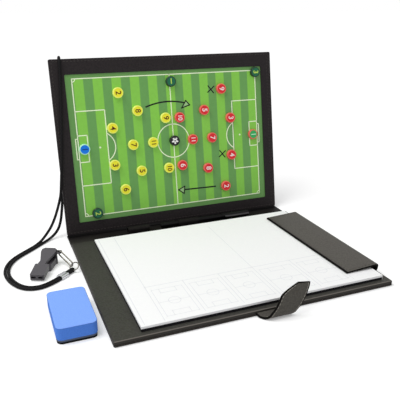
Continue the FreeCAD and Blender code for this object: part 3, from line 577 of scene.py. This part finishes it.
form_line, form_depth = 0.0008, 0.00004
fine_line = form_line * fine_share
row_front, row_back = 0.0045, 0.0720
columns = [0.0245, 0.0675, 0.1100, 0.1530, 0.2020, 0.2450]
margin_left, margin_front, margin_back = 0.0042, 0.003, 0.213
middle_column, middle_back = columns[3], 0.204
small_inset, small_circle = 0.0045, 0.0065
small_area_half, small_area_depth = 0.009, 0.0085
pad_form = bmesh.new()
for x in (margin_left, columns[0]):
    add_strokes(pad_form, [(x, margin_front), (x, margin_back)], form_line)
add_strokes(pad_form, [(middle_column, row_back), (middle_column, middle_back)], form_line)
add_strokes(pad_form, [(columns[0], row_back), (columns[-1], row_back)], form_line)
low, high = row_front + small_inset, row_back - 2 * small_inset
half_way = (low + high) / 2
for column, following in zip(columns, columns[1:]):
    left, right = column + small_inset, following - small_inset
    centre = (left + right) / 2
    add_strokes(pad_form, [(following, row_front), (following, row_back)], form_line)
    add_strokes(pad_form, [(left, low), (right, low), (right, high), (left, high), (left, low)], fine_line)
    add_strokes(pad_form, [(left, half_way), (right, half_way)], fine_line)
    add_arc(pad_form, (centre, half_way), small_circle, 0, 2 * math.pi, fine_line)
    for end, far in ((low, low + small_area_depth), (high, high - small_area_depth)):
        add_strokes(pad_form, [(centre - small_area_half, end), (centre - small_area_half, far),
                               (centre + small_area_half, far), (centre + small_area_half, end)], fine_line)
lay_ink("pad_form_lines", pad_form, printed_ink("form_ink_pale_grey", "#e9eaee"),
        Matrix.Translation((pad_low.x, pad_low.y, pad_high.z)), "pad", form_depth)

# Flap: a leatherette panel folded over from the right edge of the base, to hold the pad's bound end.
# Its skin runs up from the base, round the springy fold and down to the free edge, which lies on the pad.
# The cut edges are sealed with dark edge paint, and a seam runs inside them.
grey_leatherette = leatherette("leatherette_charcoal_grained", "#57534e", "#4a4742", 0.2)
edge_paint = leatherette("edge_paint_dark", "#100e0d", "#0a0908", 0.05)
flap_thread = spun_thread("polyester_thread_grey", "#54514c")
flap_front, flap_back = -0.0945, 0.0855
flap_slant = 0.0022          # the free edge is cut a little aslant: further right at the front
flap_edge_round = 0.0006
flap_steep = 0.75            # a face whose normal points up or down by less than this is an edge
fold_x = 0.1560
hair = 0.00001               # what still counts as the same place
FLAP_SECTION = [(0.1556, 0.00615), (0.1572, 0.0104), (0.1577, 0.0134), (0.1574, 0.0152), (0.1562, 0.0163),
                (0.1540, 0.0165), (0.1320, 0.0151), (0.1135, 0.01395), (0.1122, 0.0138), (0.1114, 0.0134),
                (0.1112, 0.0129), (0.1115, 0.0122), (0.1123, 0.0118), (0.1320, 0.0130), (0.1512, 0.0140),
                (0.1538, 0.0139), (0.1548, 0.0125), (0.1536, 0.00615)]
flap = bmesh.new()
flap.faces.new([flap.verts.new((x, flap_front, z)) for x, z in FLAP_SECTION])
drawn = bmesh.ops.extrude_face_region(flap, geom=flap.faces[:])
bmesh.ops.translate(flap, verts=[item for item in drawn["geom"] if isinstance(item, bmesh.types.BMVert)],
                    vec=(0, flap_back - flap_front, 0))
free_x = min(x for x, z in FLAP_SECTION)
for vert in flap.verts:
    out = max(0.0, (fold_x - vert.co.x) / (fold_x - free_x))
    vert.co.x += out * flap_slant * (1 if vert.co.y < 0 else -1)
bmesh.ops.recalc_face_normals(flap, faces=flap.faces)
ends = [edge for edge in flap.edges if abs(edge.verts[0].co.y - edge.verts[1].co.y) < hair]
bmesh.ops.bevel(flap, geom=ends, offset=flap_edge_round, offset_type="OFFSET", segments=3, profile=0.5,
                affect="EDGES", material=-1)
for face in flap.faces:
    edge_end = max(vert.co.x for vert in face.verts)
    painted = abs(face.normal.z) < flap_steep or edge_end < free_x + 2 * flap_slant
    face.material_index = 1 if painted else 0
flap_skin = add_piece("flap_skin", flap, grey_leatherette, smooth=True)
flap_skin.data.materials.append(edge_paint)
flap_skin.modifiers.new("even_shading", "WEIGHTED_NORMAL").keep_sharp = True
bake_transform(flap_skin)
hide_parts("flap_cover", "flap_gusset")
dress("flap_board", greyboard)

flap_seam = bmesh.new()
seam_right, seam_left = 0.1530, 0.1152
seam_right_up, seam_left_up = 0.01645, 0.01405
seam_front, seam_back = flap_front + seam_inset, flap_back - seam_inset
add_stitches(flap_seam, [Vector((seam_right, seam_front, seam_right_up)),
                         Vector((seam_left + flap_slant, seam_front, seam_left_up)),
                         Vector((seam_left - flap_slant, seam_back, seam_left_up)),
                         Vector((seam_right, seam_back, seam_right_up))], thread=0.0008)
add_piece("flap_seam_stitches", flap_seam, flap_thread, "flap")

# Strap: a closing strap of two leatherette skins, sewn in at the front edge between the base's skins.
# It dips to the table, curls up and drifts to the right, and its tip is cut off on a slant.
base_front = -0.1185
strap_half = 0.0011
STRAP_LINE = [Vector(row) for row in (
    (-0.0130, 0.0200, -0.0060, 0.0029), (-0.0130, 0.0200, 0.0000, 0.0029), (-0.0112, 0.0212, 0.0050, 0.0015),
    (-0.0078, 0.0226, 0.0096, 0.0020), (-0.0046, 0.0250, 0.0122, 0.0044), (-0.0028, 0.0272, 0.0130, 0.0072),
    (0.0010, 0.0312, 0.0132, 0.0120), (0.0052, 0.0358, 0.0128, 0.0190), (0.0087, 0.0388, 0.0120, 0.0260),
    (0.0166, 0.0408, 0.0113, 0.0312), (0.0280, 0.0417, 0.0104, 0.0364))]
tip_cut, tip_rows = 0.0020, 4    # how much lower the tip's right corner is, and over how many rows
edge_strip = 0.0013          # the width of the painted edge on each face
strap_edge_round = 0.0006
WIDE_SIDES = (1, 5)          # which of the eight sides between two rings are the strap's faces
strap_rows = []
for index, row in enumerate(STRAP_LINE[:-1]):
    before, after = STRAP_LINE[max(index - 1, 0)], STRAP_LINE[index + 1]
    beyond = STRAP_LINE[min(index + 2, len(STRAP_LINE) - 1)]
    for part in (0.0, 0.25, 0.5, 0.75):
        strap_rows.append(row + (after - before) * (part / 2)
                          + (before * 2 - row * 5 + after * 4 - beyond) * (part ** 2 / 2)
                          + (row * 3 - before - after * 3 + beyond) * (part ** 3 / 2))
strap_rows.append(STRAP_LINE[-1])

strap_leatherette = leatherette("leatherette_charcoal_strap", "#514e48", "#44413c", 0.2)
strap = bmesh.new()
outs = []
rings = []
for index, (left, right, out, height) in enumerate(strap_rows):
    before, after = strap_rows[max(index - 1, 0)], strap_rows[min(index + 1, len(strap_rows) - 1)]
    across = Vector((0, -(after[3] - before[3]), -(after[2] - before[2]))).normalized()
    outs.append(across)
    drop = tip_cut * max(0, index - len(strap_rows) + 1 + tip_rows) / tip_rows
    lows = [Vector((x, base_front - out, height - drop * (x - left) / (right - left))) - across * strap_half
            for x in (left, left + edge_strip, right - edge_strip, right)]
    ring = lows + [corner + across * (2 * strap_half) for corner in lows[::-1]]
    rings.append([strap.verts.new(corner) for corner in ring])
for ring, following in zip(rings, rings[1:]):
    for corner in range(8):
        near = (corner + 1) % 8
        side = strap.faces.new((ring[corner], ring[near], following[near], following[corner]))
        side.material_index = 0 if corner in WIDE_SIDES and following is not rings[-1] else 1
for end_ring in (rings[0], rings[-1]):
    for low, near in ((0, 1), (1, 2), (2, 3)):
        cut = strap.faces.new((end_ring[low], end_ring[near], end_ring[7 - near], end_ring[7 - low]))
        cut.material_index = 1
strap_skin = add_piece("strap_skin", strap, strap_leatherette, smooth=True)
strap_skin.data.materials.append(edge_paint)
rounded = strap_skin.modifiers.new("rounded_edges", "BEVEL")
rounded.width = strap_edge_round
rounded.segments = 2
rounded.limit_method = "ANGLE"
strap_skin.modifiers.new("even_shading", "WEIGHTED_NORMAL").keep_sharp = True
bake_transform(strap_skin)
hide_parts("strap_root", "strap_tongue")

strap_seam = bmesh.new()
seam_from_edge = 0.0021
seen_rows = list(zip(strap_rows, outs))[12:-2:2]     # from past the lowest bend to short of the tip
for face_side in (-1, 1):
    rows = [[], []]
    for (left, right, out, height), across in seen_rows:
        for row, x in zip(rows, (left + seam_from_edge, right - seam_from_edge)):
            row.append(Vector((x, base_front - out, height)) + across * (strap_half * face_side))
    for row in rows:
        add_stitches(strap_seam, row, pitch=0.0034, length=0.0034, thread=0.0007)
pale_thread = spun_thread("polyester_thread_pale", "#908c84")
strap_stitches = add_piece("strap_seam_stitches", strap_seam, pale_thread)
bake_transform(strap_stitches)
dress("strap_magnet", mottled("ferrite_sintered", "#3a3836", "#4c4a47", 0.6, 2.0, 0.7))

# Marker: a dry-wipe marker moulded in black ABS, capped, lying in the gutter through its loop.
# The clip on its cap is drawn grey, as a painted highlight. The nib is a bonded felt rod, hidden in the cap.
dress("marker_barrel", moulded_abs("abs_black_barrel", "#0d0c0d", 0.45, 0.1))
clip_highlight_back, clip_highlight_front = 0.1257, 0.1253
cap_finish = moulded_abs("abs_black_cap", "#121112", 0.4, 0.12)
# Painted highlight: the clip, at the front of the cap, is drawn grey.
tone_by_place(cap_finish, "#555354", ("Y", clip_highlight_back, clip_highlight_front))
dress("marker_cap", cap_finish)
dress("marker_nib", mottled("felt_nib_bonded", "#0d0d10", "#26262b", 0.4, 4.0, 0.95))

# Wiping block: a foam grip die-cut from blue sheet, glued to a black felt sole.
# The foam's fine cells give a dull, even face. The sides are drawn a deeper blue than the top, as painted
# shade; the top edge is slightly rounded, and the felt is grey along its top.
foam_low, foam_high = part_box("eraser_foam")
foam_half = (foam_high - foam_low) / 2
foam_corner, foam_edge, foam_cuts = 0.006, 0.0009, 31
pull_in, crown = 0.0004, 0.0004
steep = 0.5                  # a face is a side where its normal points up or down by less than this
foam = bmesh.new()
bmesh.ops.create_cube(foam, size=2)
bmesh.ops.subdivide_edges(foam, edges=foam.edges[:], cuts=foam_cuts, use_grid_fill=True)
bmesh.ops.scale(foam, verts=foam.verts, vec=foam_half)
bmesh.ops.recalc_face_normals(foam, faces=foam.faces)
top_edges = [edge for edge in foam.edges if min(vert.co.z for vert in edge.verts) > foam_half.z - hair
             and any(abs(face.normal.z) < steep for face in edge.link_faces)]
bmesh.ops.bevel(foam, geom=top_edges, offset=foam_edge, offset_type="OFFSET", segments=3, profile=0.5,
                affect="EDGES", material=-1)
for face in foam.faces:
    face.material_index = 1 if abs(face.normal.z) < steep else 0
for vert in foam.verts:
    over_x = (abs(vert.co.x) - foam_half.x + foam_corner) / foam_corner
    over_y = (abs(vert.co.y) - foam_half.y + foam_corner) / foam_corner
    if over_x > 0 and over_y > 0:
        round_x = over_x * math.sqrt(1 - over_y ** 2 / 2)
        round_y = over_y * math.sqrt(1 - over_x ** 2 / 2)
        vert.co.x = math.copysign(foam_half.x - foam_corner + foam_corner * round_x, vert.co.x)
        vert.co.y = math.copysign(foam_half.y - foam_corner + foam_corner * round_y, vert.co.y)
    across, along, up = vert.co.x / foam_half.x, vert.co.y / foam_half.y, vert.co.z / foam_half.z
    vert.co.x -= pull_in * across * (1 - along ** 2) * (1 - up ** 2)
    vert.co.y -= pull_in * along * (1 - across ** 2) * (1 - up ** 2)
    if up > 0:
        vert.co.z -= crown * up * (1 - (1 - across ** 2) * (1 - along ** 2))
bmesh.ops.translate(foam, verts=foam.verts, vec=(foam_low + foam_high) / 2)


def eva_foam(name, cell_wall, cell_floor):
    """Closed-cell foam: fine dull cells, a little deeper in colour at their bottoms."""
    material, tree, shader, place = new_finish(name)
    cells = add_node(tree, "TexVoronoi", {"Vector": place, "Scale": 1000 / 0.9})
    depth = add_node(tree, "MapRange", {"Value": cells.outputs["Distance"], "From Max": 0.7})
    tone = add_node(tree, "MixRGB", {"Fac": depth.outputs["Result"], "Color1": linear(cell_wall),
                                     "Color2": linear(cell_floor)})
    bump = add_node(tree, "Bump", {"Height": depth.outputs["Result"], "Strength": 0.12, "Distance": 0.0002},
                    invert=True)
    add_node(tree, shader, {"Base Color": tone.outputs["Color"], "Roughness": 0.9, "Specular IOR Level": 0.2,
                            "Normal": bump.outputs["Normal"]})
    return material


foam_grip = add_piece("eraser_grip", foam, eva_foam("foam_eva_blue", "#8cb4ff", "#80a9fa"),
                      "eraser", smooth=True)
# Painted shade: the sides get a deeper blue than the top.
foam_grip.data.materials.append(eva_foam("foam_eva_sides_painted_shade", "#5488e2", "#4b7cd6"))
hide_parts("eraser_foam")

band_start, band_end = 0.0019, 0.0027
wool_felt = mottled("felt_needled_black", "#0d0d0e", "#262527", 0.9, 8.0, 0.95, 0.1, relief=(0.6, 0.0004),
                    crisp=0.7)
tone_by_place(wool_felt, "#5a6478", ("Z", band_start, band_end))
dress("eraser_felt", wool_felt)

# Lanyard: one braided polyester cord, its ends crimped in a steel ferrule, passed over the lid's left side.
# Two strands lie side by side on the table as far as the crease line, and part there to hang from the lid.
cord_diameter = 0.0036
cord_level = 0.0019
pair_offset = 0.00195        # each strand's middle, out from the pair's
run_in = 0.012


def braid(name, length, bundle_mm=2.4, slant=3.0):
    """Braided polyester cord: bundles of yarn crossing each other on two slants, about 2.4 mm long.

    Such bundles are often about 1 mm; they are drawn coarser, so that they show.
    """
    material, tree, shader, place = new_finish(name)
    wrap = add_node(tree, "SeparateXYZ", {"Vector": add_node(tree, "TexCoord").outputs["UV"]})
    lengthwise = add_node(tree, "Math", {0: wrap.outputs["X"], 1: length * 1000 / bundle_mm},
                          operation="MULTIPLY")
    yarns = []
    for way in (slant, -slant):
        turn = add_node(tree, "Math", {0: wrap.outputs["Y"], 1: way, 2: lengthwise.outputs["Value"]},
                        operation="MULTIPLY_ADD")
        angle = add_node(tree, "Math", {0: turn.outputs["Value"], 1: 2 * math.pi}, operation="MULTIPLY")
        yarns.append(add_node(tree, "Math", {0: angle.outputs["Value"]}, operation="SINE").outputs["Value"])
    weave = add_node(tree, "Math", {0: yarns[0], 1: yarns[1]}, operation="MAXIMUM")
    raised = add_node(tree, "MapRange", {"Value": weave.outputs["Value"], "From Min": -1.0})
    tone = add_node(tree, "MixRGB", {"Fac": raised.outputs["Result"], "Color1": linear("#040404"),
                                     "Color2": linear("#1a191a")})
    bump = add_node(tree, "Bump", {"Height": raised.outputs["Result"], "Strength": 0.5, "Distance": 0.0003})
    add_node(tree, shader, {"Base Color": tone.outputs["Color"], "Roughness": 0.7,
                            "Specular IOR Level": 0.12, "Normal": bump.outputs["Normal"]})
    return material


def cord_line(name, points, bevel=cord_diameter / 2):
    """A cord's smooth line: one NURBS spline with the route's points as its control points."""
    line = bpy.data.curves.new(name, "CURVE")
    line.dimensions = "3D"
    line.resolution_u = 12
    line.bevel_depth = bevel
    line.bevel_resolution = 4
    line.use_fill_caps = True
    spline = line.splines.new("NURBS")
    spline.points.add(len(points) - 1)
    for control, point in zip(spline.points, points):
        control.co = (*point, 1)
    spline.order_u = 3
    spline.use_endpoint_u = True
    return line


def beside(points, offset):
    """The same floor route shifted sideways, for one strand of the pair."""
    shifted = []
    last = len(points) - 1
    for index, point in enumerate(points):
        came = (points[max(index, 1)] - points[max(index, 1) - 1]).normalized()
        goes = (points[min(index + 1, last)] - points[min(index, last - 1)]).normalized()
        along = (came + goes).normalized()
        shifted.append(point + Vector((-along.y, along.x, 0)) * (offset / math.cos(came.angle(goes) / 2)))
    return shifted


FLOOR_PAIR = [Vector((x, y, cord_level)) for x, y in (
    (-0.1862, 0.0338), (-0.1968, 0.0252), (-0.2115, 0.0197), (-0.2260, 0.0250), (-0.2368, 0.0430),
    (-0.2423, 0.0665), (-0.2390, 0.0895), (-0.2290, 0.1080), (-0.2178, 0.1185))]
FRONT_HANG = [Vector(point) for point in (
    (-0.2016, 0.1371, 0.0019), (-0.1936, 0.1471, 0.0026), (-0.1857, 0.1529, 0.0086),
    (-0.1784, 0.1553, 0.0172), (-0.1723, 0.1556, 0.0294), (-0.1677, 0.1555, 0.0418),
    (-0.1640, 0.1553, 0.0536))]
BACK_HANG = [Vector(point) for point in (
    (-0.1992, 0.1339, 0.0019), (-0.1916, 0.1421, 0.0019), (-0.1829, 0.1499, 0.0026),
    (-0.1742, 0.1567, 0.0058), (-0.1683, 0.1601, 0.0118), (-0.1644, 0.1624, 0.0212),
    (-0.1620, 0.1639, 0.0326), (-0.1600, 0.1649, 0.0454))]
OVER_LID = [(-0.0012, 0.0720, 0.0082), (0.0034, 0.1060, 0.0082), (0.0072, 0.1440, 0.0082),
            (0.0106, 0.1830, 0.0082), (0.0131, 0.2160, 0.0082), (0.0138, 0.2354, 0.0088),
            (0.0144, 0.2354, -0.0027), (0.0143, 0.2160, -0.0021), (0.0114, 0.1830, -0.0021),
            (0.0082, 0.1440, -0.0021), (0.0042, 0.1060, -0.0021), (0.0014, 0.0720, -0.0021)]
over_lid = [lid_frame_place @ Vector((x - lid_half_width, up, out - crease_height))
            for x, up, out in OVER_LID]
front_floor = beside(FLOOR_PAIR, pair_offset)
back_floor = beside(FLOOR_PAIR, -pair_offset)

floor_lengths = (0.154, 0.142)
for name, points, length in (("lanyard_strand_front", front_floor, floor_lengths[0]),
                             ("lanyard_strand_back", back_floor, floor_lengths[1])):
    line = cord_line(name, points[::-1])
    line.materials.append(braid("polyester_braid_" + name[-5:], length))
    strand = put_in_scene(name, line)
    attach(strand, "base")
    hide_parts("lanyard_floor_cord")


def run_on(points):
    """The point where a stretch has run straight on past its last point."""
    return points[-1] + (points[-1] - points[-2]).normalized() * run_in


loop_route = ([front_floor[-1], run_on(front_floor)] + FRONT_HANG + [run_on(over_lid[1::-1])] + over_lid
              + [run_on(over_lid[-2:])] + BACK_HANG[::-1] + [run_on(back_floor), back_floor[-1]])
loop_length = 0.584
loop_path = bpy.data.objects.new("loop_path", cord_line("loop_path", loop_route, 0))
path_mesh = bpy.data.meshes.new_from_object(loop_path)
loop_tube = bpy.data.objects.new("loop_tube", cord_line("loop_tube", loop_route))
tube_mesh = bpy.data.meshes.new_from_object(loop_tube)
for spare in (loop_path, loop_tube):
    bpy.data.curves.remove(spare.data)
tube_mesh.materials.append(braid("polyester_braid_loop", loop_length))
loop = put_in_scene("lanyard_loop", tube_mesh)
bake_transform(loop)
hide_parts("lanyard_hanging_cord", "lanyard_lid_cord")

# Lanyard fittings: a crimped ferrule, a rubber sleeve over the ring's eye, and a sprung wire hook.
# The ferrule is nickel-plated steel, bright with faint handling marks, and the hook is duller spring steel.
dress("lanyard_ferrule", metal("nickel_plated_steel", "#c4c5c8", 2, 6.0, 0.14, 0.34))
dress("lanyard_hook", metal("spring_steel_wire", "#4d4a45", 1.5, 6.0, 0.2, 0.4, "#98948c"))
dress("lanyard_sleeve", mottled("rubber_moulded_black", "#0b0b0b", "#19191a", 1.3, 5.0, 0.62, 0.15))

# Whistle: a pealess whistle moulded in dark grey ABS, with open side chambers and a lug for the hook.
# The mould leaves a satin face.
dress("whistle", moulded_abs("abs_charcoal_satin", "#4a474b", 0.42, 0.35))

# Table, light and camera: a white sweep, one large soft lamp from the upper left and an even white surround.
# The table shows white to the camera and in reflections, and keeps the shadows that fall on it.
floor_half = 20
glow_near, glow_far = 0.3, 1.6
surround_level = 0.54
lamp_place, lamp_aim = Vector((-0.64, -0.02, 1.36)), Vector((0, 0.03, 0.05))
photo_place, photo_aim = (-0.2420, -0.5380, 0.2969), Vector((0.350, 0.873, -0.340))


def seen_white(tree):
    """One for a ray from the camera or off a glossy face, and nothing for the rays that light the object."""
    rays = add_node(tree, "LightPath")
    return add_node(tree, "Math", {0: rays.outputs["Is Camera Ray"], 1: rays.outputs["Is Glossy Ray"]},
                    operation="MAXIMUM").outputs["Value"]


def aim(thing, place, way):
    """Stands a lamp or a camera at a place and points it a given way."""
    thing.location = place
    thing.rotation_mode = "QUATERNION"
    thing.rotation_quaternion = way.to_track_quat("-Z", "Y")


floor_form = bmesh.new()
bmesh.ops.create_grid(floor_form, x_segments=1, y_segments=1, size=floor_half)
floor_mesh = bpy.data.meshes.new("floor")
floor_form.to_mesh(floor_mesh)
floor_form.free()
floor = put_in_scene("floor", floor_mesh)
white_table, tree, shader, place = new_finish("table_white_matt")
reach = add_node(tree, "VectorMath", {0: place}, operation="LENGTH")
sweep = add_node(tree, "MapRange", {"Value": reach.outputs["Value"], "From Min": glow_near,
                                    "From Max": glow_far, "To Min": 0.2, "To Max": 0.5})
glow = add_node(tree, "Math", {0: seen_white(tree), 1: sweep.outputs["Result"]}, operation="MULTIPLY")
add_node(tree, shader, {"Base Color": linear("#fbfbfb"), "Roughness": 1.0, "Specular IOR Level": 0.0,
                        "Emission Color": (1, 1, 1, 1), "Emission Strength": glow.outputs["Value"]})
floor_mesh.materials.append(white_table)

world = bpy.data.worlds.new("white_surround")
bpy.context.scene.world = world
world.use_nodes = True
tree = world.node_tree
level = add_node(tree, "MapRange", {"Value": seen_white(tree), "To Min": surround_level, "To Max": 1.0})
add_node(tree, tree.nodes["Background"], {"Color": (1, 1, 1, 1), "Strength": level.outputs["Result"]})

lamp = bpy.data.lights.new("softbox", "AREA")
lamp.shape = "RECTANGLE"
lamp.size, lamp.size_y = 0.9, 0.7
lamp.energy = 12.3
aim(put_in_scene("softbox", lamp), lamp_place, lamp_aim - lamp_place)

camera = bpy.data.cameras.new("photo_view")
camera.sensor_width = 36
camera.lens = 48.65
camera.clip_start = 0.01
viewpoint = put_in_scene("photo_view", camera)
aim(viewpoint, photo_place, photo_aim)
bpy.context.scene.camera = viewpoint
bpy.context.scene.view_settings.view_transform = "Standard"
